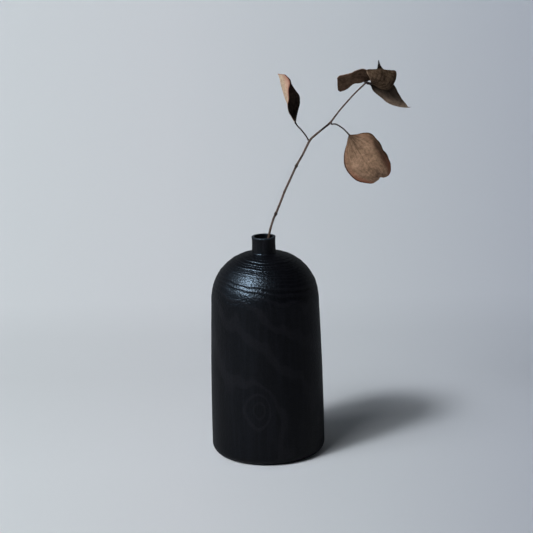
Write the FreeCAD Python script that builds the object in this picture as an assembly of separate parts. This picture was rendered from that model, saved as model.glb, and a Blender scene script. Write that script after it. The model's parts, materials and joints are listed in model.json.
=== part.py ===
import FreeCAD, Part
import math
import os

# Bud vase turned from one block of wood, holding a dried twig with five leaves.
# Millimetres, +Z up, origin at the middle of the flat base.

# ---- Turned body -------------------------------------------------------------
VASE_HEIGHT = 200.0
WALL_RADIUS_LOW = 51.2          # widest place, just above the rounded foot
WALL_RADIUS_MID = 50.5
WALL_RADIUS_TOP = 48.5          # where the wall turns into the shoulder
FOOT_ROUND = 8.0
SHOULDER_START = 138.5
SHOULDER_RISE = 47.5
SHOULDER_EXPONENT = 2.272       # superellipse: 2 would be a plain ellipse
SHOULDER_STEPS = 9
NECK_FOOT_RADIUS = 11.6         # where the shoulder stops at the foot of the neck
NECK_COVE_RISE = 1.4
NECK_COVE_BOW = 0.3             # how far along the cove its middle point lies
NECK_RADIUS_FOOT = 10.7
NECK_RADIUS_WAIST = 10.45
NECK_RADIUS_RIM = 10.75
NECK_WAIST_BELOW_RIM = 6.0

# ---- Drilled bore ------------------------------------------------------------
BORE_RADIUS = 8.4
BORE_DEPTH = 150.0
LIP_ROUND = 0.5

# ---- Twig --------------------------------------------------------------------
# Axis of the twig from its foot in the bore to its tip, with its radius there.
# The points with a larger radius are the knots where older leaves fell.
TWIG = [
    ((1.5, 6.0, 50.4), 1.1),
    ((2.2, 5.9, 120.0), 1.1),
    ((3.6, 5.3, 185.0), 1.05),
    ((5.3, 4.9, 201.0), 1.0),
    ((9.0, 5.6, 213.5), 1.0),
    ((11.0, 6.0, 218.0), 1.3),
    ((12.2, 6.3, 220.5), 1.0),
    ((16.5, 7.4, 230.5), 0.95),
    ((25.0, 8.3, 249.5), 0.95),
    ((30.6, 8.5, 261.0), 1.3),
    ((31.6, 8.5, 263.0), 0.95),
    ((36.5, 8.3, 271.5), 0.95),
    ((42.8, 7.7, 283.8), 0.95),
    ((52.0, 5.6, 292.8), 0.85),
    ((61.4, 3.5, 300.8), 0.85),
    ((71.5, 1.0, 314.0), 0.7),
    ((82.5, -1.6, 326.5), 0.7),
    ((92.5, -4.0, 336.2), 0.75),
    ((92.9, -4.1, 336.9), 0.4),
]

# ---- Leaf stalks -------------------------------------------------------------
# The first point of a stalk is the middle of its joint with the twig.
KNUCKLE_RADIUS = 0.85
STALK_RADIUS = 0.65
KNUCKLE_STEP = 0.9              # half length of the knuckle, in knuckle radii
STALKS = {
    "left": [(41.4, 8.1, 285.4), (40.2, 8.6, 288.0), (36.0, 10.0, 293.2), (30.6, 11.0, 300.0)],
    "right": [(62.9, 2.9, 299.3), (66.5, 1.2, 299.0), (72.0, -2.2, 296.0), (77.6, -6.2, 290.8)],
    "upper": [(91.6, -2.4, 337.3), (93.8, -0.6, 338.0)],
    "arched": [(93.2, -6.0, 337.0), (97.6, -7.4, 336.2)],
    "hanging": [(94.5, -3.9, 335.3), (97.2, -2.6, 334.3)],
}

# ---- Leaf blades -------------------------------------------------------------
# Each row crosses the blade from one margin over the midrib to the other margin.
# The rows run from the stalk to the tip.
BLADE_THICKNESS = 0.6
BLADE_STRIPS = 4                # flat strips across a blade
BLADES = {
    "left": [
        ((29.9, 10.6, 300.2), (30.5, 10.9, 300.2), (31.2, 11.3, 300.4)),
        ((28.2, 9.5, 304.2), (27.8, 12.1, 303.9), (32.4, 15.1, 305.9)),
        ((24.1, 5.1, 317.4), (23.8, 13.1, 316.4), (35.4, 24.1, 316.4)),
        ((25.1, 3.6, 323.9), (21.8, 14.1, 321.9), (35.2, 24.1, 321.4)),
        ((25.6, 5.1, 330.4), (19.8, 12.6, 329.2), (31.4, 22.1, 327.4)),
        ((26.6, 8.1, 335.9), (18.5, 12.1, 335.4), (28.2, 18.1, 333.4)),
        ((21.5, 11.3, 342.8), (17.0, 13.0, 343.2), (22.0, 15.2, 342.4)),
    ],
    "right": [
        ((77.2, -6.4, 290.2), (77.8, -6.8, 290.7), (78.4, -6.3, 291.2)),
        ((75.0, -8.0, 283.0), (81.0, -9.0, 284.5), (87.0, -6.0, 291.5)),
        ((72.5, -9.0, 274.5), (85.5, -11.0, 277.5), (97.5, -3.0, 289.5)),
        ((72.5, -9.0, 266.5), (90.5, -12.0, 270.0), (104.0, 4.0, 282.0)),
        ((76.0, -7.0, 256.5), (96.0, -12.0, 262.5), (109.5, 5.5, 270.0)),
        ((86.0, -5.0, 249.0), (100.5, -10.5, 257.0), (114.5, 3.5, 261.5)),
        ((95.5, -5.0, 246.5), (103.0, -8.0, 253.5), (113.0, -1.0, 255.0)),
    ],
    "upper": [
        ((94.4, -0.9, 338.6), (93.9, -0.5, 338.0), (93.3, 0.2, 337.5)),
        ((94.8, -1.0, 342.0), (92.5, 0.0, 340.0), (91.0, 1.6, 337.0)),
        ((91.5, -5.5, 348.0), (89.0, -2.5, 342.0), (87.5, 4.0, 335.0)),
        ((87.0, -9.0, 349.5), (84.0, -3.0, 341.0), (83.0, 7.0, 333.5)),
        ((80.5, -11.0, 346.0), (78.5, -2.0, 339.5), (78.5, 9.0, 331.0)),
        ((74.0, -10.0, 345.5), (73.0, 0.0, 337.5), (74.5, 10.0, 328.0)),
        ((68.5, -4.0, 341.5), (68.5, 1.0, 336.0), (69.0, 5.0, 329.5)),
    ],
    "arched": [
        ((97.2, -7.2, 336.9), (97.9, -7.9, 336.2), (98.4, -7.4, 335.6)),
        ((96.0, -9.0, 339.5), (102.0, -14.0, 337.0), (104.5, -13.0, 332.5)),
        ((94.8, -9.0, 344.0), (104.5, -17.0, 342.0), (113.0, -13.0, 331.5)),
        ((94.5, -4.5, 346.5), (105.5, -12.0, 346.5), (118.5, -7.0, 341.0)),
        ((96.0, 4.0, 347.0), (107.0, -1.0, 347.5), (118.5, 2.0, 345.0)),
        ((102.0, 12.0, 345.5), (106.0, 11.0, 346.0), (110.0, 12.0, 345.0)),
        ((104.4, 14.0, 353.5), (105.0, 13.8, 354.5), (105.8, 14.0, 353.5)),
    ],
    "hanging": [
        ((96.6, -2.2, 333.6), (97.2, -2.6, 334.2), (97.9, -2.2, 334.5)),
        ((99.5, -3.0, 329.0), (104.0, -4.5, 332.0), (110.0, 3.0, 336.0)),
        ((104.5, -5.0, 324.0), (110.0, -6.0, 328.0), (117.5, 4.0, 333.0)),
        ((110.5, -6.0, 319.5), (115.0, -6.0, 323.0), (120.0, 3.0, 326.0)),
        ((117.0, -6.0, 316.0), (121.0, -5.0, 319.0), (124.5, 0.0, 321.0)),
        ((131.0, -3.5, 313.6), (131.4, -3.0, 314.0), (131.0, -2.5, 314.4)),
    ],
}


def vector(point):
    return FreeCAD.Vector(*point)


def line(start, end):
    return Part.makeLine(vector(start), vector(end))


def arc(start, middle, end):
    return Part.Arc(vector(start), vector(middle), vector(end)).toShape()


def shoulder_point(angle):
    """Point of the superellipse shoulder, angle 0 at the wall and 90 degrees on the axis."""
    power = 2.0 / SHOULDER_EXPONENT
    radius = WALL_RADIUS_TOP * math.cos(angle) ** power
    height = SHOULDER_START + SHOULDER_RISE * math.sin(angle) ** power
    return (radius, 0.0, height)


def shoulder_edge():
    """Smooth edge from the wall up to the foot of the neck."""
    last = math.acos((NECK_FOOT_RADIUS / WALL_RADIUS_TOP) ** (SHOULDER_EXPONENT / 2.0))
    points = [shoulder_point(last * step / SHOULDER_STEPS) for step in range(SHOULDER_STEPS + 1)]
    curve = Part.BSplineCurve()
    curve.interpolate([vector(point) for point in points])
    return curve.toShape(), points[-1]


def vase_body():
    """Half outline of the turned body, spun round the axis."""
    flat_radius = WALL_RADIUS_LOW - FOOT_ROUND
    foot_middle = FOOT_ROUND * math.sin(math.pi / 4.0)
    shoulder, shoulder_end = shoulder_edge()
    neck_foot = (NECK_RADIUS_FOOT, 0.0, shoulder_end[2] + NECK_COVE_RISE)
    neck_cove = (
        NECK_RADIUS_FOOT + NECK_COVE_BOW * (NECK_FOOT_RADIUS - NECK_RADIUS_FOOT),
        0.0,
        shoulder_end[2] + NECK_COVE_BOW * NECK_COVE_RISE,
    )
    waist = (NECK_RADIUS_WAIST, 0.0, VASE_HEIGHT - NECK_WAIST_BELOW_RIM)
    rim_outer = (NECK_RADIUS_RIM, 0.0, VASE_HEIGHT)
    lip = (BORE_RADIUS + LIP_ROUND, 0.0, VASE_HEIGHT)
    lip_inner = (BORE_RADIUS, 0.0, VASE_HEIGHT - LIP_ROUND)
    bore_foot = (BORE_RADIUS, 0.0, VASE_HEIGHT - BORE_DEPTH)
    bore_centre = (0.0, 0.0, VASE_HEIGHT - BORE_DEPTH)
    edges = [
        line((0.0, 0.0, 0.0), (flat_radius, 0.0, 0.0)),
        arc(
            (flat_radius, 0.0, 0.0),
            (flat_radius + foot_middle, 0.0, FOOT_ROUND - foot_middle),
            (WALL_RADIUS_LOW, 0.0, FOOT_ROUND),
        ),
        arc(
            (WALL_RADIUS_LOW, 0.0, FOOT_ROUND),
            (WALL_RADIUS_MID, 0.0, (FOOT_ROUND + SHOULDER_START) / 2.0),
            (WALL_RADIUS_TOP, 0.0, SHOULDER_START),
        ),
        shoulder,
        arc(shoulder_end, neck_cove, neck_foot),
        arc(neck_foot, waist, rim_outer),
        line(rim_outer, lip),
        line(lip, lip_inner),
        line(lip_inner, bore_foot),
        line(bore_foot, bore_centre),
        line(bore_centre, (0.0, 0.0, 0.0)),
    ]
    face = Part.Face(Part.Wire(edges))
    return face.revolve(vector((0.0, 0.0, 0.0)), vector((0.0, 0.0, 1.0)), 360.0)


def rod(points, radii):
    """Solid of round sections strung along a bent axis."""
    places = [vector(point) for point in points]
    rings = []
    for index, place in enumerate(places):
        before = places[max(index - 1, 0)]
        after = places[min(index + 1, len(places) - 1)]
        circle = Part.makeCircle(radii[index], place, (after - before).normalize())
        rings.append(Part.Wire(circle))
    return Part.makeLoft(rings, True, True)


def stalk(points):
    """Leaf stalk with a swollen knuckle at its joint with the twig."""
    joint = vector(points[0])
    step = (vector(points[1]) - joint).normalize() * (KNUCKLE_RADIUS * KNUCKLE_STEP)
    knuckle = [tuple(joint - step), tuple(joint), tuple(joint + step)]
    radii = [STALK_RADIUS, KNUCKLE_RADIUS, STALK_RADIUS] + [STALK_RADIUS] * (len(points) - 1)
    return rod(knuckle + points[1:], radii)


def across(row):
    """Points across one row, bent smoothly through its three points."""
    first, middle, last = (vector(point) for point in row)
    control = middle * 2.0 - (first + last) * 0.5
    points = []
    for strip in range(BLADE_STRIPS + 1):
        t = strip / BLADE_STRIPS
        points.append(first * (1.0 - t) ** 2 + control * (2.0 * t * (1.0 - t)) + last * t ** 2)
    return points


def half_thickness(grid, i, j):
    """Step from the middle of the blade to its face, square to the blade at point i, j."""
    along = grid[min(i + 1, len(grid) - 1)][j] - grid[max(i - 1, 0)][j]
    sideways = grid[i][min(j + 1, BLADE_STRIPS)] - grid[i][max(j - 1, 0)]
    return sideways.cross(along).normalize() * (BLADE_THICKNESS / 2.0)


def ring_of(grid):
    """Margin of the blade, once round its grid of points."""
    bottom = grid[0]
    right = [row[-1] for row in grid[1:]]
    top = list(reversed(grid[-1][:-1]))
    left = [row[0] for row in reversed(grid[1:-1])]
    return bottom + right + top + left


def two_triangles(a, b, c, d):
    """The quadrilateral a, b, c, d as two flat faces."""
    return [Part.Face(Part.makePolygon([p, q, r, p])) for p, q, r in ((a, b, c), (a, c, d))]


def blade(rows):
    """Thin closed leaf blade, faceted between its rows."""
    grid = [across(row) for row in rows]
    columns = range(BLADE_STRIPS + 1)
    steps = [[half_thickness(grid, i, j) for j in columns] for i in range(len(grid))]
    front = [[grid[i][j] + steps[i][j] for j in columns] for i in range(len(grid))]
    back = [[grid[i][j] - steps[i][j] for j in columns] for i in range(len(grid))]
    faces = []
    for skin in (front, back):
        for low, high in zip(skin, skin[1:]):
            for j in range(BLADE_STRIPS):
                faces += two_triangles(low[j], low[j + 1], high[j + 1], high[j])
    front_ring = ring_of(front)
    back_ring = ring_of(back)
    for k in range(len(front_ring)):
        n = (k + 1) % len(front_ring)
        faces += two_triangles(front_ring[k], front_ring[n], back_ring[n], back_ring[k])
    shell = Part.Shell(faces)
    shell.sewShape()
    return Part.Solid(shell)


def main():
    twig_axis = [point for point, _ in TWIG]
    twig_radii = [radius for _, radius in TWIG]
    nodes = {"vase_body": vase_body(), "twig": rod(twig_axis, twig_radii)}
    for name, points in STALKS.items():
        nodes[name + "_leaf_stalk"] = stalk(points)
    for name, rows in BLADES.items():
        nodes[name + "_leaf_blade"] = blade(rows)
    os.makedirs("parts", exist_ok=True)
    for name, shape in nodes.items():
        shape.exportStep("parts/" + name + ".step")
        print(name, shape.ShapeType, shape.isValid(), round(shape.Volume, 1))


main()
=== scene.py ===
import json
import math

import bpy
import numpy as np
from mathutils import Matrix, Vector, noise


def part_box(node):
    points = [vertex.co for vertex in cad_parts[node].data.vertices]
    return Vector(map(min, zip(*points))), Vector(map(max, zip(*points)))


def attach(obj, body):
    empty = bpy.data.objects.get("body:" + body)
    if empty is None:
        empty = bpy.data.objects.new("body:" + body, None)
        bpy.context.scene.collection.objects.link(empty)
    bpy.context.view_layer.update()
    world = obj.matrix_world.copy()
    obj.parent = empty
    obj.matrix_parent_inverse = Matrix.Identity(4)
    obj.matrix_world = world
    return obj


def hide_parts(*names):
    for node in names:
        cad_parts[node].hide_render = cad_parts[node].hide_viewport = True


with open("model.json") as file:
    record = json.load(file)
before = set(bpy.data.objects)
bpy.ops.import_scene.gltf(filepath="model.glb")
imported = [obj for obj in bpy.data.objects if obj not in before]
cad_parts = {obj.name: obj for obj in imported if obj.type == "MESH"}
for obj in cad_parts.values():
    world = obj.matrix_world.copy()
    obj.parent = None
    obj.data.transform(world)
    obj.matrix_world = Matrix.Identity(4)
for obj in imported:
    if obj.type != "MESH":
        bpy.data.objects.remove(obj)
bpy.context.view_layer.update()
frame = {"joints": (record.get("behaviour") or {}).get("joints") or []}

# Looks of a turned, black-stained wooden bud vase that holds a dried twig with five leaves.
# Blender works in metres. The tables of places and radii are in millimetres.

MM = 0.001

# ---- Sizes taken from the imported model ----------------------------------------
VASE_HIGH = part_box("vase_body")[1]
HEIGHT = VASE_HIGH.z
WIDEST = VASE_HIGH.x
JOINT_AT = {joint["name"]: Vector(joint.get("pos_m", (0, 0, 0))) for joint in frame["joints"]}

# ---- Turned body -----------------------------------------------------------------
FOOT_ROUND = 8.0 * MM
WALL_MID = WIDEST - 0.7 * MM            # radius halfway up the wall
WALL_TOP = WIDEST - 2.7 * MM            # radius where the shoulder starts
SHOULDER_START = 138.5 * MM
SHOULDER_RISE = 47.5 * MM
SHOULDER_EXPONENT = 2.272               # 2 is an ellipse, and more is squarer
NECK_FOOT = 11.6 * MM
NECK_LOW = 10.7 * MM
NECK_WAIST = 10.45 * MM
NECK_RIM = 10.75 * MM
COVE_HEIGHT = 1.4 * MM                  # the small cove between shoulder and neck
COVE_BOW = (0.25 * MM, 0.35 * MM)       # its middle, out from the neck and up from the shoulder
WAIST_BELOW_RIM = 6.0 * MM
LIP_ROUND = 0.4 * MM
LIP_BAND = 0.6 * MM                     # depth below the rim that is painted pale: painted light on the rim's lit top
BORE_CLEAR = 0.1 * MM                   # how far outside the bore the painted pale band starts
BORE = 8.4 * MM
BORE_DEPTH = 150.0 * MM
AXIS_GAP = 0.4 * MM                     # radius of the small faces that close the mesh at the axis
TURNS = 360                             # columns of faces round the body

SHOULDER_POWER = 2 / SHOULDER_EXPONENT
SHOULDER_TURN = math.acos((NECK_FOOT / WALL_TOP) ** (1 / SHOULDER_POWER))
SHOULDER_TOP = SHOULDER_START + SHOULDER_RISE * math.sin(SHOULDER_TURN) ** SHOULDER_POWER

# ---- Growth rings of the block ---------------------------------------------------
PITH_AT = (1.0 * MM, 0.5 * MM)
PITH_TILT = (0.008, -0.006)
# The oval grain figure low on the front of the wall, and how far it lifts the rings there.
FIGURE_AT = (-8.5 * MM, -50.0 * MM, 54.0 * MM)
FIGURE_REACH = (11.0 * MM, 16.0 * MM, 17.0 * MM)
FIGURE_RISE = 4.5 * MM
FIGURE_RELIEF_REACH = (17.0 * MM, 16.0 * MM, 26.0 * MM)
# Waves of the grain: scale per metre along each axis, seed, and reach.
SLOW_WAVE = ((14, 14, 9), 3.1)
SLOW_WAVE_TOP = 0.7 * MM
SLOW_WAVE_FOOT = 2.7 * MM
QUICK_WAVE = ((90, 90, 40), 8.7)
QUICK_WAVE_REACH = 0.7 * MM
# Each ring line in millimetres: radius, height above the surface, width.
RINGS = [
    (13.8, 0.12, 0.5),
    (15.6, 0.16, 0.6),
    (17.4, 0.10, 0.5),
    (19.6, 0.16, 0.6),
    (23.4, 0.30, 0.9),
    (26.8, 0.22, 0.8),
    (28.9, 0.08, 0.5),
    (31.8, 0.26, 0.75),
    (33.2, 0.10, 0.5),
    (36.4, 0.07, 0.5),
    (42.6, 0.32, 0.8),
    (44.4, 0.16, 0.6),
    (46.8, 0.11, 0.65),
    (47.9, 0.16, 0.5),
]
RINGS += [(radius, 0.18, 0.5) for radius in (48.9, 49.8, 50.7, 51.6, 52.6, 53.8, 55.2)]
# Section of a line, in widths from its crest: gentle inside, steep outside, then a groove.
INNER_SLOPE = 0.8
OUTER_SLOPE = 2.2
GROOVE_AT = 1.3
GROOVE_WIDTH = 0.6
GROOVE_SHARE = 0.5
# Where the lines are full, and how much flatter they are on the wall and in the figure.
NECK_CLEAR = 0.5 * MM
BASE_CLEAR = 1.5 * MM
WALL_FADE_TOP = SHOULDER_START + 16.0 * MM
WALL_FADE = 20.0 * MM
WALL_FLATTER = 0.85
FIGURE_FULLER = 0.5
LINE_RELIEF = 0.2 * MM                  # unit of the heights that the stain reads as ring_line
BAND_PITCH = 1.9 * MM                   # distance between two growth bands

# Colours of the stained wood.
STAIN_DEEP = (0.0022, 0.0023, 0.0034)
STAIN_THIN = (0.0044, 0.0045, 0.0062)
GRAIN_DARK = (0.0012, 0.0012, 0.0018)
BAND_PALE = (0.0090, 0.0084, 0.0105)
# Dark of the ring grooves: partly the dark latewood lines, partly painted shade in the grooves.
GROOVE_DARK_AND_PAINTED_SHADE = (0.0014, 0.0014, 0.0018)
# Painted light: the top of the rim is painted pale where the light falls on it.
LIP_PAINTED_LIGHT = (0.018, 0.022, 0.028)

# ---- Twig and stalks -------------------------------------------------------------
# Axis of the twig in millimetres from the middle of the rim, with its radius there.
TWIG = [
    ((1.5, 6.0, -149.5), 1.1),
    ((2.2, 5.9, -80.0), 1.1),
    ((3.6, 5.3, -15.0), 1.08),
    ((5.3, 4.9, 1.0), 1.05),
    ((9.0, 5.6, 13.5), 1.0),
    ((11.5, 6.1, 19.0), 1.1),
    ((16.5, 7.4, 30.5), 0.97),
    ((19.7, 7.8, 38.5), 1.0),
    ((25.0, 8.3, 49.5), 0.95),
    ((30.9, 8.5, 61.8), 1.05),
    ((36.5, 8.3, 71.5), 0.97),
    ((42.8, 7.7, 83.8), 1.05),
    ((47.2, 6.7, 88.6), 0.9),
    ((56.2, 4.7, 96.2), 0.88),
    ((61.4, 3.5, 100.8), 0.95),
    ((65.6, 2.4, 106.4), 0.74),
    ((71.5, 1.0, 114.0), 0.7),
    ((82.5, -1.6, 126.5), 0.68),
    ((92.3, -4.0, 136.2), 0.75),
    ((93.0, -4.1, 137.2), 0.35),
]
# Place and swelling of each knot.
KNOTS = [((11.4, 6.1, 18.7), 0.40), ((19.6, 7.8, 38.2), 0.10), ((30.8, 8.5, 61.4), 0.40)]
BARK_GUIDE = (0.13, 1.0, 0.21)          # a direction that no twig or stalk follows
BARK_GRAIN = (900, 900, 260)            # scales of the bark's noise, per metre
BARK_LUMPS = (160, 160, 160)
BARK_SPREAD = 1.2 * MM
LUMP_SHARE = 0.06
TWIG_BARK = 0.09                        # height of the bark as a share of the radius
STALK_BARK = 0.07
KNOT_LENGTH = 1.1 * MM
KNOT_STAIN_LENGTH = 1.6 * MM
TWIG_STEPS = 430
TWIG_SIDES = 18

# Axis of each stalk in millimetres from its joint with the twig.
STALKS = {
    "left": [
        (0.5, -0.2, -1.0), (0, 0, 0), (-1.6, 0.6, 2.8),
        (-5.4, 1.9, 7.8), (-8.9, 2.5, 11.6), (-11, 2.6, 15.0),
    ],
    "right": [
        (-0.9, 0.4, 0.4), (0, 0, 0), (3.6, -1.7, 0),
        (9.1, -5.1, -3.1), (12.5, -7.6, -6.2), (14.7, -9.2, -8.6),
    ],
    "upper": [(0.3, -0.5, -0.5), (0, 0, 0), (1.2, 1.0, 0.4), (2.5, 1.9, 0.2)],
    "arched": [(-0.4, 1.0, -0.5), (0, 0, 0), (2.2, -0.9, -0.2), (4.4, -1.7, -0.8)],
    "hanging": [(-0.9, -0.1, 0.5), (0, 0, 0), (1.3, 0.7, -0.3), (2.5, 1.3, -1.0)],
}
ROOT_RADIUS = 0.95
THIN_RADIUS = 0.66
LEAF_END_RADIUS = 0.85
ROOT_SHARE = 0.16                       # share of the stalk over which it thins from the root
LEAF_END_SHARE = 0.15
STALK_STEPS = 60
STALK_SIDES = 14

TWIG_LIGHT = (0.13, 0.084, 0.062)
TWIG_DARK = (0.028, 0.019, 0.016)
STALK_LIGHT = (0.05, 0.035, 0.03)
STALK_DARK = (0.014, 0.011, 0.011)
KNOT_DARK = (0.012, 0.008, 0.007)

# ---- Leaf blades -----------------------------------------------------------------
# Rows from stalk to tip, in millimetres from the leaf's joint: margin, midrib, margin.
BLADES = {
    "left": [
        ((-11.2, 2.6, 15), (-11.4, 3, 15), (-10.2, 3.2, 15)),
        ((-13.4, 2.5, 18.5), (-13.6, 4, 18.5), (-9, 7, 20.5)),
        ((-15.8, 0, 25), (-15.9, 5, 25), (-7.2, 13, 26)),
        ((-17.3, -3, 32), (-17.6, 5, 31), (-6, 16, 31)),
        ((-16.3, -4.5, 38.5), (-19.6, 6, 36.5), (-6.2, 16, 36)),
        ((-15.8, -3, 45), (-21.6, 4.5, 43.8), (-10, 14, 42)),
        ((-14.8, 0, 50.5), (-22.9, 4, 50), (-13.2, 10, 48)),
        ((-16, 3, 54), (-23.8, 4.5, 54.2), (-14.5, 7, 52.5)),
        ((-19.5, 5, 57.4), (-25.3, 5.5, 58), (-18.5, 6, 57)),
    ],
    "right": [
        ((14, -9, -9), (14.5, -9.5, -8.5), (15, -9, -8.2)),
        ((12.5, -10.5, -14), (16.5, -11.5, -12.5), (20.5, -8.5, -8)),
        ((10.5, -12, -20.5), (20, -13.5, -18.5), (28, -6, -7.7)),
        ((9.4, -12.5, -28), (24.5, -14.5, -25), (35, -1, -9.5)),
        ((10, -12, -35.5), (28, -15, -31), (41, 6, -16.5)),
        ((13, -10.5, -42.5), (32, -15, -36), (45, 12, -27)),
        ((19, -8.5, -48), (35, -14.5, -40), (50, 13, -33.5)),
        ((27, -7.5, -51.5), (38, -13.5, -43.5), (52.5, 7, -40)),
        ((34.5, -8, -52.5), (39.5, -11.5, -45.5), (50.5, 0, -45)),
        ((39.5, -9.5, -49), (41, -10.5, -46.5), (45, -8, -47)),
    ],
    "upper": [
        ((4.5, 1, 0.5), (3.2, 2, 0.2), (2, 2.5, -0.5)),
        ((7.5, 2.5, 4), (3.5, 2.8, 2), (0, 3.5, -1)),
        ((3.5, -0.5, 8.6), (-0.5, 1.2, 4.2), (-2, 5.5, -1.5)),
        ((-1.6, -4.5, 12.1), (-5, -0.5, 4.2), (-6, 8.5, -3)),
        ((-6.6, -8, 11.7), (-9.5, -0.5, 3.5), (-10, 10.5, -4.5)),
        ((-12.6, -9.5, 8.8), (-14, 0.5, 1.5), (-14, 12, -7)),
        ((-18.5, -8, 8.2), (-19, 2.5, 0), (-18, 12.5, -9.7)),
        ((-22, -5.5, 7.2), (-21.5, 3.5, -1), (-20.6, 11, -10.3)),
        ((-23.7, -1.5, 3), (-23.7, 3.5, -2), (-23.2, 7.5, -8.3)),
    ],
    "arched": [
        ((4, -1.2, -0.4), (4.5, -2, -1), (5, -1.5, -1.5)),
        ((3, -3.5, 2), (7, -6.5, 1), (9, -6.5, -3.5)),
        ((2, -3.5, 5), (9.5, -9.5, 2.5), (14, -7.5, -5.3)),
        ((1, -2.5, 7.5), (11.5, -10.5, 5.5), (20, -7, -5.3)),
        ((0, 0.5, 9.4), (12.5, -8, 8.5), (24.5, -3, 0.5)),
        ((-0.4, 5, 10.2), (13, -2, 10.5), (26, 2.5, 5)),
        ((2, 10, 10), (13.5, 5.5, 10.5), (25.5, 8.5, 8)),
        ((6.5, 16, 8.5), (14, 14, 8.7), (21, 16, 7.7)),
        ((10, 19, 8.5), (13, 18, 8.8), (16, 19, 8.3)),
        ((11, 20, 11.5), (12, 20, 12), (13.5, 20, 11.5)),
        ((11.6, 20.4, 16), (11.8, 20.2, 16.3), (12, 20.4, 16)),
    ],
    "hanging": [
        ((2.2, 1.4, -1.3), (2.5, 1.3, -1), (2.9, 1.5, -0.9)),
        ((4, 1, -5.5), (7.5, -0.5, -3), (12.5, 5, 1)),
        ((7.5, 0, -9), (12.5, -1.5, -5), (19.5, 8, 0)),
        ((11.5, -1, -12.5), (16.5, -2, -8.5), (23.5, 8, -3.5)),
        ((15.5, -2, -16), (20, -2, -12), (25.5, 7, -9)),
        ((20.5, -2, -18.7), (24, -1.5, -15.5), (28.5, 5, -12.5)),
        ((26, -1.5, -20.5), (28.5, -0.5, -18.5), (31.5, 3, -16.5)),
        ((31.5, -0.5, -21.6), (32.5, 0, -20.5), (33.7, 1, -19.7)),
        ((34.3, 0.7, -21.9), (34.6, 1, -21.6), (34.9, 1, -21.3)),
        ((37.3, 1, -21.6), (37.5, 1, -21.5), (37.3, 1, -21.4)),
    ],
}
# How each blade bends away from its middle line: powers across, then in depth on either side.
BENDS = {
    "left": (2.0, 1.0, 1.0),
    "right": (1.0, 2.2, 7.0),
    "upper": (1.0, 1.6, 1.4),
    "arched": (1.0, 2.2, 2.4),
    "hanging": (1.0, 1.8, 1.3),
}
CREASE = 0.08                           # softness of the bend at the middle line
BLADE_HALF = 0.16 * MM                  # half thickness of a dry leaf
BLADE_STEPS = 120                       # rows of faces from stalk to tip
BLADE_COLUMNS = 80
FULL_WIDTH = 12.0 * MM                  # where the blade is narrower, its relief fades
RIB_HEIGHT = 0.30 * MM
RIB_WIDTH = 1.4 * MM
RIB_FADE = 0.8                          # share of its height that the midrib loses by the tip
VEIN_PAIRS = 11
VEIN_LEAN = 2.6                         # how far a side vein runs on towards the tip
VEIN_SWAY = (0.35, 5.0)                 # how far a vein sways, and how quickly across the blade
VEIN_WIDTH = 0.085
VEIN_DEPTH = 0.06 * MM
CRUMPLE_SCALE = (110, 110, 110)
FINE_SCALE = (420, 420, 420)
FINE_RELIEF = 0.14 * MM
MARGIN_WAVE = 0.5 * MM
MARGIN_TURNS = 17                       # radians of wave from stalk to tip
MARGIN_SHIFT = 1.3                      # radians that each margin's wave is ahead or behind
TIP_MARGIN = 0.86                       # from this share of the length on, the tip is margin too
# Each blade: skins of its upper side and underside, seed, height of its crumples.
BLADE_LOOKS = {
    "left": ("black", "tan_under", 1.7, 0.4 * MM),
    "right": ("tan_under", "tan_upper", 6.2, 0.9 * MM),
    "upper": ("black", "brown", 11.4, 0.6 * MM),
    "arched": ("olive", "black", 15.8, 0.5 * MM),
    "hanging": ("black", "taupe", 21.3, 0.5 * MM),
}
# Each skin: light, middle, dark, blush and rim colours, then its darkening at the stalk, where along
# the blade that darkening ends, and its painted shade at the tip. A value of 1 is not darkened.
# The taupe skin's darkening at the stalk is painted shadow of the arched leaf, the olive skin's tip is
# painted shade behind the arched leaf's top edge, and the lighter rims are partly painted light.
LEAF_SKINS = {
    "tan_upper": ((0.37, 0.225, 0.145), (0.25, 0.15, 0.092), (0.135, 0.083, 0.056), (0.34, 0.10, 0.055),
                  (0.07, 0.035, 0.025), 0.25, 0.34, 1.0),
    "tan_under": ((0.54, 0.40, 0.29), (0.45, 0.32, 0.225), (0.28, 0.185, 0.13), (0.42, 0.19, 0.14),
                  (0.26, 0.11, 0.08), 0.8, 0.42, 1.0),
    "brown": ((0.15, 0.092, 0.06), (0.10, 0.06, 0.039), (0.052, 0.031, 0.021), (0.11, 0.05, 0.034),
              (0.34, 0.22, 0.16), 1.0, 0.42, 1.0),
    "black": ((0.06, 0.042, 0.031), (0.036, 0.026, 0.019), (0.018, 0.013, 0.01), (0.03, 0.014, 0.011),
              (0.04, 0.022, 0.018), 0.8, 0.42, 1.0),
    "olive": ((0.10, 0.065, 0.042), (0.044, 0.028, 0.018), (0.017, 0.011, 0.007), (0.06, 0.03, 0.02),
              (0.21, 0.145, 0.10), 0.8, 0.42, 0.2),
    "taupe": ((0.26, 0.185, 0.135), (0.19, 0.135, 0.097), (0.08, 0.055, 0.041), (0.17, 0.11, 0.075),
              (0.22, 0.155, 0.11), 0.02, 0.8, 1.0),
}
# Where the painted shade at the tip starts, and where it is full.
TIP_PAINTED_SHADE_START = 0.78
TIP_PAINTED_SHADE_FULL = 0.82


# ---- Small helpers ---------------------------------------------------------------
def smooth_path(points, steps):
    """Catmull-Rom curve through the rows of an array, at steps + 1 even places."""
    points = np.asarray(points, float)
    padded = np.concatenate([[2 * points[0] - points[1]], points, [2 * points[-1] - points[-2]]])
    place = np.linspace(0, len(points) - 1, steps + 1)
    span = np.minimum(place.astype(int), len(points) - 2)
    t = (place - span).reshape((-1,) + (1,) * (points.ndim - 1))
    a, b, c, d = (padded[span + k] for k in range(4))
    return 0.5 * (2 * b + (c - a) * t + (2 * a - 5 * b + 4 * c - d) * t ** 2
                  + (3 * b - 3 * c + d - a) * t ** 3)


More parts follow.
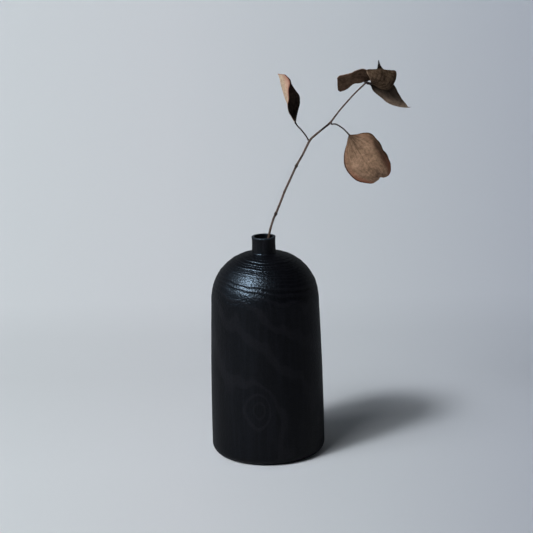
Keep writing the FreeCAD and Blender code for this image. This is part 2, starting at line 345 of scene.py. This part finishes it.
def unit(vectors):
    return vectors / np.maximum(np.linalg.norm(vectors, axis=-1, keepdims=True), 1e-12)


def noise_at(points, scale, seed):
    """Smooth noise, about -1 to 1, at each row of points. scale is per metre, one per axis."""
    places = points.reshape(-1, 3) * np.asarray(scale) + seed
    values = [noise.noise(Vector(place)) for place in places]
    return np.array(values).reshape(points.shape[:-1])


def grid_faces(rows, columns, offset, closed, flip):
    """Quads over a grid of vertices, wrapped round if closed."""
    faces = []
    for i in range(rows - 1):
        for j in range(columns if closed else columns - 1):
            n = (j + 1) % columns
            quad = [offset + i * columns + j, offset + i * columns + n,
                    offset + (i + 1) * columns + n, offset + (i + 1) * columns + j]
            faces.append(quad[::-1] if flip else quad)
    return faces


def capped_faces(rows, columns):
    """Faces of a closed tube of vertices with a cap at each end."""
    faces = grid_faces(rows, columns, 0, True, False)
    faces.append(list(range(columns))[::-1])
    faces.append([(rows - 1) * columns + j for j in range(columns)])
    return faces


def add_mesh(name, vertices, faces):
    mesh = bpy.data.meshes.new(name)
    mesh.from_pydata(vertices.reshape(-1, 3).tolist(), [], faces)
    mesh.shade_smooth()
    piece = bpy.data.objects.new(name, mesh)
    bpy.context.scene.collection.objects.link(piece)
    return piece


def add_values(piece, name, values):
    """Stores one number at each vertex for a material to read."""
    layer = piece.data.attributes.new(name, "FLOAT", "POINT")
    layer.data.foreach_set("value", np.asarray(values, np.float32).ravel())


# ---- Material helpers ------------------------------------------------------------
MIX_INPUTS = (0, 6, 7)                  # share and both colours, among the Mix node's sockets
MIX_OUTPUT = 2                          # its colour


class Nodes:
    """Short ways to build a node tree. A value is a number, a colour or another node's socket."""

    def __init__(self, tree):
        self.tree = tree

    def add(self, kind, **settings):
        node = self.tree.nodes.new(kind)
        for key, value in settings.items():
            setattr(node, key, value)
        return node

    def link(self, source, target):
        self.tree.links.new(source, target)

    def feed(self, socket, value):
        if isinstance(value, tuple):
            socket.default_value = value + (1,)
        elif isinstance(value, (int, float)):
            socket.default_value = value
        else:
            self.link(value, socket)

    def axes(self, vector):
        """X, Y and Z of a vector."""
        node = self.add("ShaderNodeSeparateXYZ")
        self.link(vector, node.inputs[0])
        return node.outputs

    def math(self, operation, *values):
        node = self.add("ShaderNodeMath", operation=operation)
        for socket, value in zip(node.inputs, values):
            self.feed(socket, value)
        return node.outputs[0]

    def span(self, value, before, after):
        """Maps the range before onto the range after, and holds its ends."""
        node = self.add("ShaderNodeMapRange")
        for name, limit in zip(("From Min", "From Max", "To Min", "To Max"), before + after):
            node.inputs[name].default_value = limit
        self.link(value, node.inputs["Value"])
        return node.outputs[0]

    def values(self, name):
        """Numbers stored at the vertices by add_values."""
        return self.add("ShaderNodeAttribute", attribute_name=name).outputs["Fac"]

    def place(self, scale):
        """Object coordinates stretched by scale, per metre and axis."""
        source = self.add("ShaderNodeTexCoord").outputs["Object"]
        mapping = self.add("ShaderNodeMapping")
        mapping.inputs["Scale"].default_value = scale
        self.link(source, mapping.inputs["Vector"])
        return mapping.outputs[0]

    def noise(self, vector, detail=3.0, roughness=0.55):
        node = self.add("ShaderNodeTexNoise")
        for name, value in (("Scale", 1.0), ("Detail", detail), ("Roughness", roughness)):
            node.inputs[name].default_value = value
        self.link(vector, node.inputs["Vector"])
        return node.outputs["Fac"]

    def ramp(self, value, stops):
        """Colours or greys at stops of (place, colour)."""
        node = self.add("ShaderNodeValToRGB")
        elements = node.color_ramp.elements
        while len(elements) < len(stops):
            elements.new(0.5)
        for element, (place, colour) in zip(elements, stops):
            element.position = place
            grey = isinstance(colour, (int, float))
            element.color = (colour,) * 3 + (1,) if grey else colour + (1,)
        self.link(value, node.inputs[0])
        return node.outputs[0]

    def mix(self, share, first, second, blend="MIX"):
        node = self.add("ShaderNodeMix", data_type="RGBA", blend_type=blend)
        for index, value in zip(MIX_INPUTS, (share, first, second)):
            self.feed(node.inputs[index], value)
        return node.outputs[MIX_OUTPUT]


class MaterialNodes(Nodes):
    """Nodes of a new material with one Principled shader."""

    def __init__(self, name):
        self.material = bpy.data.materials.new(name)
        self.material.use_nodes = True
        super().__init__(self.material.node_tree)
        self.tree.nodes.clear()
        self.shader = self.add("ShaderNodeBsdfPrincipled")
        output = self.add("ShaderNodeOutputMaterial")
        self.link(self.shader.outputs[0], output.inputs[0])

    def colour(self, socket):
        self.link(socket, self.shader.inputs["Base Color"])

    def set(self, **values):
        """Constants on the shader's own sockets; _ stands for a space."""
        for key, value in values.items():
            self.shader.inputs[key.replace("_", " ")].default_value = value

    def bump(self, heights, targets=("Normal",)):
        """Chains bumps from (height, strength, distance) onto the shader's normals."""
        before = None
        for height, strength, distance in heights:
            node = self.add("ShaderNodeBump")
            node.inputs["Strength"].default_value = strength
            node.inputs["Distance"].default_value = distance
            self.link(height, node.inputs["Height"])
            if before:
                self.link(before, node.inputs["Normal"])
            before = node.outputs[0]
        for target in targets:
            self.link(before, self.shader.inputs[target])


def darker(colour, share):
    return tuple(share * part for part in colour)


# ---- Turned body -----------------------------------------------------------------
def line_points(start, end, count):
    share = np.linspace(0, 1, count, endpoint=False)[:, None]
    return np.array(start) * (1 - share) + np.array(end) * share


def bow_points(start, middle, end, count):
    """Quadratic curve that passes through middle."""
    control = 2 * np.array(middle) - (np.array(start) + np.array(end)) / 2
    t = np.linspace(0, 1, count, endpoint=False)[:, None]
    return np.array(start) * (1 - t) ** 2 + control * 2 * t * (1 - t) + np.array(end) * t ** 2


def round_points(centre, radius, first, last, count):
    angle = np.radians(np.linspace(first, last, count, endpoint=False))[:, None]
    return np.array(centre) + radius * np.hstack([np.cos(angle), np.sin(angle)])


def shoulder_points(count):
    """Superellipse from the top of the wall to the foot of the neck."""
    angle = SHOULDER_TURN * np.linspace(0, 1, count, endpoint=False)
    radius = WALL_TOP * np.cos(angle) ** SHOULDER_POWER
    height = SHOULDER_START + SHOULDER_RISE * np.sin(angle) ** SHOULDER_POWER
    return np.column_stack([radius, height])


def foot_and_wall():
    flat = WIDEST - FOOT_ROUND
    wall_middle = (WALL_MID, (FOOT_ROUND + SHOULDER_START) / 2)
    return np.vstack([
        line_points((AXIS_GAP, 0), (flat, 0), count=5),
        round_points((flat, FOOT_ROUND), FOOT_ROUND, -90, 0, count=12),
        bow_points((WIDEST, FOOT_ROUND), wall_middle, (WALL_TOP, SHOULDER_START), count=40),
    ])


def neck_and_lip():
    cove_middle = (NECK_LOW + COVE_BOW[0], SHOULDER_TOP + COVE_BOW[1])
    cove_top = (NECK_LOW, SHOULDER_TOP + COVE_HEIGHT)
    lip_low = HEIGHT - LIP_ROUND
    return np.vstack([
        bow_points((NECK_FOOT, SHOULDER_TOP), cove_middle, cove_top, count=5),
        bow_points(cove_top, (NECK_WAIST, HEIGHT - WAIST_BELOW_RIM), (NECK_RIM, lip_low), count=9),
        round_points((NECK_RIM - LIP_ROUND, lip_low), LIP_ROUND, 0, 90, count=5),
        line_points((NECK_RIM - LIP_ROUND, HEIGHT), (BORE + LIP_ROUND, HEIGHT), count=2),
        round_points((BORE + LIP_ROUND, lip_low), LIP_ROUND, 90, 180, count=5),
    ])


def bore_points():
    floor = HEIGHT - BORE_DEPTH
    return np.vstack([
        line_points((BORE, HEIGHT - LIP_ROUND), (BORE, floor), count=8),
        line_points((BORE, floor), (AXIS_GAP, floor), count=4),
        [(AXIS_GAP, floor)],
    ])


def body_outline():
    """Half outline (radius, height) from the middle of the base, over the rim and down the bore."""
    return np.vstack([foot_and_wall(), shoulder_points(count=168), neck_and_lip(), bore_points()])


def spin(radius, height):
    """Turns columns of radius and height round the vase's axis."""
    turn = np.linspace(0, 2 * math.pi, TURNS, endpoint=False)
    rise = np.broadcast_to(height[:, None], (len(height), TURNS))
    return np.stack([radius[:, None] * np.cos(turn), radius[:, None] * np.sin(turn), rise], -1)


def figure_share(points, reach):
    """One at the middle of the oval grain figure, falling to nothing past its reach."""
    return np.exp(-(((points - np.array(FIGURE_AT)) / np.array(reach)) ** 2).sum(-1))


def ring_distance(points):
    """Distance of each point from the leaning pith line, with the grain's own waves."""
    x = points[..., 0] - PITH_AT[0] - PITH_TILT[0] * points[..., 2]
    y = points[..., 1] - PITH_AT[1] - PITH_TILT[1] * points[..., 2]
    lower = np.clip(1 - points[..., 2] / SHOULDER_START, 0, 1)
    slow = noise_at(points, *SLOW_WAVE) * (SLOW_WAVE_TOP + (SLOW_WAVE_FOOT - SLOW_WAVE_TOP) * lower)
    quick = noise_at(points, *QUICK_WAVE) * QUICK_WAVE_REACH
    return np.hypot(x, y) + slow + quick + FIGURE_RISE * figure_share(points, FIGURE_REACH)


def ring_height(distance):
    """Raised latewood lines, each with a sharp outer edge and a groove outside it."""
    height = np.zeros_like(distance)
    for radius, rise, width in RINGS:
        away = (distance - radius * MM) / (width * MM)
        slope = np.where(away > 0, OUTER_SLOPE, INNER_SLOPE)
        height += rise * MM * np.exp(-(away * slope) ** 2)
        height -= GROOVE_SHARE * rise * MM * np.exp(-((away - GROOVE_AT) / GROOVE_WIDTH) ** 2)
    return height


def ring_relief(outline, points, distance):
    """Ring lines where the wood shows them: full on the shoulder and low on the wall."""
    radius, height = outline[:, 0:1], outline[:, 1:2]
    outside = (radius > NECK_FOOT + NECK_CLEAR) & (height > BASE_CLEAR)
    on_wall = np.clip((WALL_FADE_TOP - height) / WALL_FADE, 0, 1)
    flatter = WALL_FLATTER - FIGURE_FULLER * figure_share(points, FIGURE_RELIEF_REACH)
    return ring_height(distance) * outside * (1 - flatter * on_wall)


def make_body():
    outline = body_outline()
    slope = np.gradient(outline, axis=0)
    outward = unit(np.column_stack([slope[:, 1], -slope[:, 0]]))
    points = spin(outline[:, 0], outline[:, 1])
    distance = ring_distance(points)
    relief = ring_relief(outline, points, distance)
    points = points + spin(outward[:, 0], outward[:, 1]) * relief[..., None]
    body = add_mesh("turned_body", points, capped_faces(len(outline), TURNS))
    # The top band of the rim gets painted light in the stain.
    on_lit_lip = (outline[:, 1] > HEIGHT - LIP_BAND) & (outline[:, 0] > BORE + BORE_CLEAR)
    add_values(body, "ring_line", relief / LINE_RELIEF)
    add_values(body, "lit_lip_paint", np.repeat(on_lit_lip.astype(float), TURNS))
    add_values(body, "ring_phase", distance / BAND_PITCH)
    body.data.materials.append(stained_wood())
    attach(body, "vase")
    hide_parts("vase_body")


def stained_wood():
    """Black stain on open-pored wood: growth bands, upright grain, pores and a thin satin coat, with painted
    shade in the ring grooves and painted light on the rim's top.
    """
    nodes = MaterialNodes("stained_wood")
    bands = nodes.math("SINE", nodes.math("MULTIPLY", nodes.values("ring_phase"), 2 * math.pi))
    band_share = nodes.ramp(bands, [(0.35, 0.0), (0.8, 1.0)])
    grain = nodes.noise(nodes.place((300, 300, 15)), 4.0, 0.6)
    streaks = nodes.noise(nodes.place((1100, 1100, 60)), 4.0, 0.65)
    speckle = nodes.noise(nodes.place((600, 600, 700)), 1.0, 0.4)
    pores = nodes.ramp(nodes.noise(nodes.place((2600, 2600, 110)), 2.0), [(0.36, 0.0), (0.5, 1.0)])
    broad = nodes.noise(nodes.place((30, 30, 9)))
    # Darkens where the ring relief dips into its grooves: dark latewood lines and painted shade in the
    # grooves.
    line = nodes.ramp(nodes.math("ADD", nodes.values("ring_line"), 0.5), [(0.25, 0.6), (0.5, 0.0)])
    stain = nodes.mix(broad, STAIN_DEEP, STAIN_THIN)
    stain = nodes.mix(nodes.ramp(grain, [(0.45, 0.65), (0.58, 0.0)]), stain, GRAIN_DARK)
    stain = nodes.mix(nodes.math("MULTIPLY", band_share, 0.4), stain, BAND_PALE)
    stain = nodes.mix(line, stain, GROOVE_DARK_AND_PAINTED_SHADE)
    # Painted light on the rim's top, mixed over the stain.
    nodes.colour(nodes.mix(nodes.values("lit_lip_paint"), stain, LIP_PAINTED_LIGHT))
    nodes.set(Roughness=0.6, Specular_IOR_Level=0.0, Coat_Weight=0.2, Coat_IOR=1.5, Coat_Roughness=0.3)
    nodes.bump([
        (grain, 0.5, 0.20 * MM),
        (pores, 0.5, 0.04 * MM),
        (streaks, 0.5, 0.07 * MM),
        (speckle, 1.0, 0.38 * MM),
        (band_share, 0.4, 0.10 * MM),
    ], ("Normal", "Coat Normal"))
    return nodes.material


# ---- Twig and stalks -------------------------------------------------------------
def tube(name, path, radii, sides, bark, seed):
    """Closed round tube with bark along a path, in metres."""
    along = unit(np.gradient(path, axis=0))
    side = unit(np.cross(along, BARK_GUIDE))
    other = np.cross(along, side)
    turn = np.linspace(0, 2 * math.pi, sides, endpoint=False)[:, None]
    spoke = side[:, None] * np.cos(turn) + other[:, None] * np.sin(turn)
    centre = np.broadcast_to(path[:, None], spoke.shape)
    grain = noise_at(centre + spoke * BARK_SPREAD, BARK_GRAIN, seed)
    lumps = noise_at(centre, BARK_LUMPS, seed + 5)
    reach = radii[:, None] * (1 + bark * grain + LUMP_SHARE * lumps)
    return add_mesh(name, centre + spoke * reach[..., None], capped_faces(len(path), sides))


def dry_bark(name, light, dark, knots):
    """Fibrous bark with darker patches, and darker still at knots if it has them."""
    nodes = MaterialNodes(name)
    fibres = nodes.noise(nodes.place((1400, 1400, 300)), 4.0)
    patches = nodes.noise(nodes.place((130, 130, 130)))
    bark = nodes.ramp(patches, [(0.32, dark), (0.47, light)])
    bark = nodes.mix(nodes.math("MULTIPLY", fibres, 0.5), bark, dark)
    if knots:
        bark = nodes.mix(nodes.values("knot"), bark, KNOT_DARK)
    nodes.colour(bark)
    nodes.set(Roughness=0.75, Specular_IOR_Level=0.03)
    nodes.bump([(fibres, 0.6, 0.12 * MM)])
    return nodes.material


def make_twig():
    rim_middle = np.array((0, 0, HEIGHT))
    path = smooth_path([point for point, _ in TWIG], TWIG_STEPS) * MM + rim_middle
    radii = smooth_path([[radius] for _, radius in TWIG], TWIG_STEPS)[:, 0] * MM
    dark = np.zeros(len(path))
    for place, swell in KNOTS:
        away = np.linalg.norm(path - np.array(place) * MM - rim_middle, axis=1)
        radii += swell * MM * np.exp(-(away / KNOT_LENGTH) ** 2)
        dark += 2 * swell * np.exp(-(away / KNOT_STAIN_LENGTH) ** 2)
    twig = tube("bare_twig", path, radii, TWIG_SIDES, TWIG_BARK, seed=2.0)
    add_values(twig, "knot", np.repeat(np.clip(dark, 0, 1), TWIG_SIDES))
    twig.data.materials.append(dry_bark("dry_bark", TWIG_LIGHT, TWIG_DARK, knots=True))
    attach(twig, "twig")
    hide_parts("twig")


def make_stalk(name, material):
    path = smooth_path(STALKS[name], STALK_STEPS) * MM + np.array(JOINT_AT[name + "_leaf_sway"])
    share = np.linspace(0, 1, len(path))
    radii = THIN_RADIUS + (ROOT_RADIUS - THIN_RADIUS) * np.exp(-(share / ROOT_SHARE) ** 2)
    radii += (LEAF_END_RADIUS - THIN_RADIUS) * np.exp(-((1 - share) / LEAF_END_SHARE) ** 2)
    stalk = tube(name + "_stalk", path, radii * MM, STALK_SIDES, STALK_BARK, seed=4.0)
    stalk.data.materials.append(material)
    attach(stalk, name + "_leaf")
    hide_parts(name + "_leaf_stalk")


# ---- Leaf blades -----------------------------------------------------------------
def leaf_surface(rows, bend):
    """Middle surface of a blade: smooth along its rows, bent about its middle line."""
    rows = smooth_path(rows, BLADE_STEPS) * MM
    first, middle, last = (rows[:, k][:, None] for k in range(3))
    v = np.linspace(-1, 1, BLADE_COLUMNS + 1)[None, :, None]
    away = (np.sqrt(v ** 2 + CREASE ** 2) - CREASE) / (math.sqrt(1 + CREASE ** 2) - CREASE)
    across, first_depth, last_depth = bend
    plane = np.abs(v) if across == 1 else away ** across
    depth = np.where(v < 0, away ** first_depth, away ** last_depth)
    share = np.concatenate([plane, depth, plane], -1)
    return middle + np.where(v < 0, first - middle, last - middle) * share


def surface_normal(points):
    return unit(np.cross(np.gradient(points, axis=1), np.gradient(points, axis=0)))


def leaf_relief(points, u, v, seed, ripple):
    """Height of ribs, side veins and drying wrinkles over the middle surface, and the veins alone."""
    width = np.linalg.norm(points[:, -1] - points[:, 0], axis=1)[:, None]
    full = np.clip(width / FULL_WIDTH, 0, 1)
    rib = RIB_HEIGHT * np.exp(-(v * width / RIB_WIDTH) ** 2) * (1 - RIB_FADE * u)
    phase = u * VEIN_PAIRS - np.abs(v) * VEIN_LEAN + VEIN_SWAY[0] * np.sin(VEIN_SWAY[1] * v + seed)
    vein = np.exp(-((phase - np.round(phase)) / VEIN_WIDTH) ** 2) * (1 - np.abs(v)) ** 0.5
    crumple = noise_at(points, CRUMPLE_SCALE, seed) * ripple
    fine = noise_at(points, FINE_SCALE, seed + 4) * FINE_RELIEF
    wave = np.sin(u * MARGIN_TURNS + seed + np.sign(v) * MARGIN_SHIFT) * np.abs(v) ** 4 * MARGIN_WAVE
    return (rib - VEIN_DEPTH * vein + crumple + fine + wave) * full, vein * full


def blade_faces(rows, columns):
    """Upper faces, under faces and the narrow edge faces between the two sheets."""
    count = rows * columns
    border = list(range(columns))
    border += [i * columns + columns - 1 for i in range(1, rows)]
    border += [(rows - 1) * columns + j for j in range(columns - 2, -1, -1)]
    border += [i * columns for i in range(rows - 2, 0, -1)]
    edge = [[b, a, count + a, count + b] for a, b in zip(border, border[1:] + border[:1])]
    upper = grid_faces(rows, columns, 0, False, False)
    under = grid_faces(rows, columns, count, False, True)
    return upper, under, edge


def make_blade(name, skins):
    upper_skin, under_skin, seed, ripple = BLADE_LOOKS[name]
    points = leaf_surface(BLADES[name], BENDS[name]) + np.array(JOINT_AT[name + "_leaf_sway"])
    rows, columns = points.shape[:2]
    u, v = np.meshgrid(np.linspace(0, 1, rows), np.linspace(-1, 1, columns), indexing="ij")
    height, vein = leaf_relief(points, u, v, seed, ripple)
    points = points + surface_normal(points) * height[..., None]
    thickness = surface_normal(points) * BLADE_HALF
    sheets = np.stack([points + thickness, points - thickness])
    upper, under, edge = blade_faces(rows, columns)
    blade = add_mesh(name + "_blade", sheets, upper + under + edge)
    margin = np.maximum(np.abs(v), np.clip((u - TIP_MARGIN) / (1 - TIP_MARGIN), 0, 1) ** 2)
    for label, values in (("vein", vein), ("margin", margin), ("along", u), ("side", v)):
        add_values(blade, label, np.stack([values, values]))
    blade.data.materials.append(skins[upper_skin])
    blade.data.materials.append(skins[under_skin])
    blade.data.polygons.foreach_set("material_index", [0] * len(upper) + [1] * len(under + edge))
    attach(blade, name + "_leaf")
    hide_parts(name + "_leaf_blade")


def leaf_streaks(nodes):
    """Fine streaks that run from the stalk to the tip and spread with the blade."""
    flow = nodes.add("ShaderNodeCombineXYZ")
    nodes.link(nodes.math("MULTIPLY", nodes.values("side"), 9.0), flow.inputs["X"])
    nodes.link(nodes.math("MULTIPLY", nodes.values("along"), 1.8), flow.inputs["Y"])
    return nodes.noise(flow.outputs["Vector"], 5.0, 0.7)


def leaf_blush(nodes, blotch, colour, blush):
    """A red tone in blotches towards the outer margin, stronger near the tip."""
    lower = nodes.ramp(nodes.values("along"), [(0.45, 0.15), (0.85, 1.0)])
    outer = nodes.ramp(nodes.values("margin"), [(0.62, 0.0), (0.95, 1.0)])
    share = nodes.math("MULTIPLY", nodes.math("MULTIPLY", outer, lower), nodes.math("MULTIPLY", blotch, 1.6))
    return nodes.mix(share, colour, blush)


def stalk_spokes(nodes, streaks, colour, dark):
    """Dark streaks that spread from the stalk."""
    by_stalk = nodes.ramp(nodes.values("along"), [(0.05, 0.9), (0.4, 0.0)])
    spokes = nodes.ramp(streaks, [(0.42, 1.0), (0.56, 0.0)])
    return nodes.mix(nodes.math("MULTIPLY", by_stalk, spokes), colour, darker(dark, 0.5))


def vein_lines(nodes, colour, middle, dark):
    """Darker side veins and midrib."""
    veins = nodes.ramp(nodes.values("vein"), [(0.25, 0.0), (1.0, 0.28)])
    colour = nodes.mix(veins, colour, darker(dark, 0.6))
    rib = nodes.ramp(nodes.math("ABSOLUTE", nodes.values("side")), [(0.015, 0.35), (0.045, 0.0)])
    return nodes.mix(rib, colour, darker(middle, 0.7))


def margin_lines(nodes, colour, dark, rim):
    """A dark line round the margin, and along the first margin the rim colour: partly the margin's own tone,
    partly painted light where a rolled margin catches the light.
    """
    edge = nodes.ramp(nodes.values("margin"), [(0.955, 0.0), (0.99, 0.8)])
    colour = nodes.mix(edge, colour, darker(dark, 0.5))
    # Rim colour along the first margin: partly painted light of a lit rolled margin.
    rim_share = nodes.ramp(nodes.values("margin"), [(0.91, 0.0), (0.96, 0.9)])
    first_side = nodes.math("LESS_THAN", nodes.values("side"), 0.0)
    return nodes.mix(nodes.math("MULTIPLY", rim_share, first_side), colour, rim)


def dry_leaf(name, light, middle, dark, blush, rim, stalk_darkening_and_painted_shade, stalk_darkening_end, tip_painted_shade):
    """Dry leaf skin: mottled browns, darker veins, a blush near the outer margin, a thin rim that is partly
    painted light, darker towards the stalk, partly with painted shadow, and painted shade at the tip.
    """
    nodes = MaterialNodes(name)
    mottle = nodes.noise(nodes.place((400, 400, 400)), 6.0, 0.68)
    specks = nodes.noise(nodes.place((1100, 1100, 1100)), 2.0)
    blotch = nodes.noise(nodes.place((60, 60, 60)))
    streaks = leaf_streaks(nodes)
    skin = nodes.math("ADD", nodes.math("MULTIPLY", mottle, 0.45), nodes.math("MULTIPLY", blotch, 0.25))
    tone = nodes.math("ADD", skin, nodes.math("MULTIPLY", streaks, 0.3))
    colour = nodes.ramp(tone, [(0.40, dark), (0.48, middle), (0.58, light)])
    colour = stalk_spokes(nodes, streaks, colour, dark)
    colour = leaf_blush(nodes, blotch, colour, blush)
    colour = vein_lines(nodes, colour, middle, dark)
    speck_share = nodes.ramp(specks, [(0.60, 0.0), (0.75, 0.4)])
    colour = nodes.mix(speck_share, colour, darker(dark, 0.5))
    colour = margin_lines(nodes, colour, dark, rim)
    # Painted shade along the blade: darker at the stalk, which on the hanging leaf is painted shadow of the
    # arched leaf, and painted shade at the arched leaf's tip behind its top edge.
    shade = nodes.ramp(nodes.values("along"), [
        (0.0, stalk_darkening_and_painted_shade), (stalk_darkening_end, 1.0), (TIP_PAINTED_SHADE_START, 1.0), (TIP_PAINTED_SHADE_FULL, tip_painted_shade)])
    nodes.colour(nodes.mix(1.0, colour, shade, "MULTIPLY"))
    nodes.set(Roughness=0.8, Specular_IOR_Level=0.0)
    nodes.bump([(mottle, 0.4, 0.2 * MM), (specks, 0.3, 0.08 * MM)])
    return nodes.material


def make_leaves():
    stalk_bark = dry_bark("stalk_bark", STALK_LIGHT, STALK_DARK, knots=False)
    skins = {name: dry_leaf(name, *skin) for name, skin in LEAF_SKINS.items()}
    for name in STALKS:
        make_stalk(name, stalk_bark)
    for name in BLADES:
        make_blade(name, skins)


# ---- Stage, light and camera ------------------------------------------------------
FLOOR_HALF = 14.0
# The floor is grey paper with painted light: its painted falloff from left to right, and its band of painted
# shade from front to back.
PAPER_PAINTED_FALLOFF = [
    (0.0, (0.697, 0.698, 0.704)),
    (0.33, (0.656, 0.646, 0.660)),
    (0.66, (0.559, 0.562, 0.581)),
    (1.0, (0.438, 0.441, 0.480)),
]
PAPER_PAINTED_SHADE_BAND = [(0.45, 1.0), (0.72, 0.92), (0.86, 0.93), (1.0, 1.0)]
PAPER_FOCUS = 1.9                       # the painted falloff fans out from here, metres in front
PAPER_NEAR = 0.6                        # nearer than this to that point, they no longer narrow
PAPER_SPREAD = 3.8

WINDOW_COLOUR = (0.92, 0.97, 1.0)
SHINE_COLOUR = (0.50, 0.74, 1.0)
# Each lamp: name, azimuth anticlockwise from +X, height, size in degrees, strength, colour, and
# whether dull surfaces see it. The last two only make the bluish gloss of the shoulder.
SUNS = [
    ("window", -140.5, 43.5, 12.0, 2.35, WINDOW_COLOUR, True),
    ("window_left", -157.0, 44.0, 15.0, 0.52, WINDOW_COLOUR, True),
    ("window_right", -123.0, 43.0, 15.0, 0.62, WINDOW_COLOUR, True),
    ("window_shine", -140.0, 44.0, 18.0, 16.5, SHINE_COLOUR, False),
    ("window_sheen", -165.0, 40.0, 60.0, 2.2, SHINE_COLOUR, False),
]
ROOM_COLOUR = (0.84, 0.93, 1.0)

CAMERA_AWAY = 1.6474
CAMERA_UP = 0.6079
CAMERA_PITCH = 0.2587
CAMERA_YAW = -0.0012
CAMERA_ROLL = 0.0248
LENS = 128.48


def make_floor():
    corners = [(x, y, 0.0) for x, y in ((-1, -1), (1, -1), (1, 1), (-1, 1))]
    floor = add_mesh("floor", np.array(corners) * FLOOR_HALF, [[0, 1, 2, 3]])
    floor.data.materials.append(floor_paper())


def floor_paper():
    """Grey paper with painted light falloff that darkens it to the right, and a band of painted shade a
    little darker behind the vase.
    """
    nodes = MaterialNodes("floor_paper")
    place = nodes.axes(nodes.place((1, 1, 1)))
    away = nodes.math("MAXIMUM", nodes.math("ADD", place["Y"], PAPER_FOCUS), PAPER_NEAR)
    share = nodes.math("MULTIPLY", nodes.math("DIVIDE", place["X"], away), PAPER_SPREAD)
    # Painted light falloff from left to right, times a band of painted shade behind the vase.
    tone = nodes.ramp(nodes.math("ADD", share, 0.5), PAPER_PAINTED_FALLOFF)
    band = nodes.ramp(nodes.math("ADD", place["Y"], 0.5), PAPER_PAINTED_SHADE_BAND)
    nodes.colour(nodes.mix(1.0, tone, band, "MULTIPLY"))
    nodes.set(Roughness=0.9, Specular_IOR_Level=0.15)
    return nodes.material


def add_sun(name, azimuth, height, size, strength, colour, diffuse):
    sun = bpy.data.lights.new(name, "SUN")
    sun.energy = strength
    sun.angle = math.radians(size)
    sun.color = colour
    lamp = bpy.data.objects.new(name, sun)
    around, up = math.radians(azimuth), math.radians(height)
    source = Vector((math.cos(around) * math.cos(up), math.sin(around) * math.cos(up), math.sin(up)))
    lamp.rotation_mode = "QUATERNION"
    lamp.rotation_quaternion = source.to_track_quat("Z", "Y")
    lamp.visible_diffuse = diffuse
    bpy.context.scene.collection.objects.link(lamp)


def make_room():
    """Soft light from all round: more from the left, and a pale backdrop low behind the vase."""
    world = bpy.data.worlds.new("room")
    world.use_nodes = True
    nodes = Nodes(world.node_tree)
    way = nodes.axes(nodes.add("ShaderNodeTexCoord").outputs["Generated"])
    left = nodes.span(way["X"], (0.0, -1.0), (0.06, 0.24))
    behind = nodes.span(way["Y"], (0.1, 0.8), (0.0, 0.42))
    low = nodes.span(way["Z"], (0.6, 0.25), (0.0, 1.0))
    background = world.node_tree.nodes["Background"]
    background.inputs["Color"].default_value = ROOM_COLOUR + (1,)
    nodes.link(nodes.math("ADD", left, nodes.math("MULTIPLY", behind, low)), background.inputs["Strength"])
    bpy.context.scene.world = world


def make_camera():
    data = bpy.data.cameras.new("camera")
    data.lens = LENS
    camera = bpy.data.objects.new("camera", data)
    bpy.context.scene.collection.objects.link(camera)
    right = Vector((math.cos(CAMERA_YAW), math.sin(CAMERA_YAW), 0))
    ahead = Vector((-math.sin(CAMERA_YAW) * math.cos(CAMERA_PITCH),
                    math.cos(CAMERA_YAW) * math.cos(CAMERA_PITCH), -math.sin(CAMERA_PITCH)))
    up = right.cross(ahead)
    across = right * math.cos(CAMERA_ROLL) - up * math.sin(CAMERA_ROLL)
    upright = right * math.sin(CAMERA_ROLL) + up * math.cos(CAMERA_ROLL)
    turn = Matrix((across, upright, -ahead)).transposed()
    camera.rotation_mode = "QUATERNION"
    camera.rotation_quaternion = turn.to_quaternion()
    camera.location = (0, -CAMERA_AWAY, CAMERA_UP)
    bpy.context.scene.camera = camera


bpy.context.scene.view_settings.view_transform = "Standard"
make_camera()
for sun in SUNS:
    add_sun(*sun)
make_room()
make_floor()
make_body()
make_twig()
make_leaves()
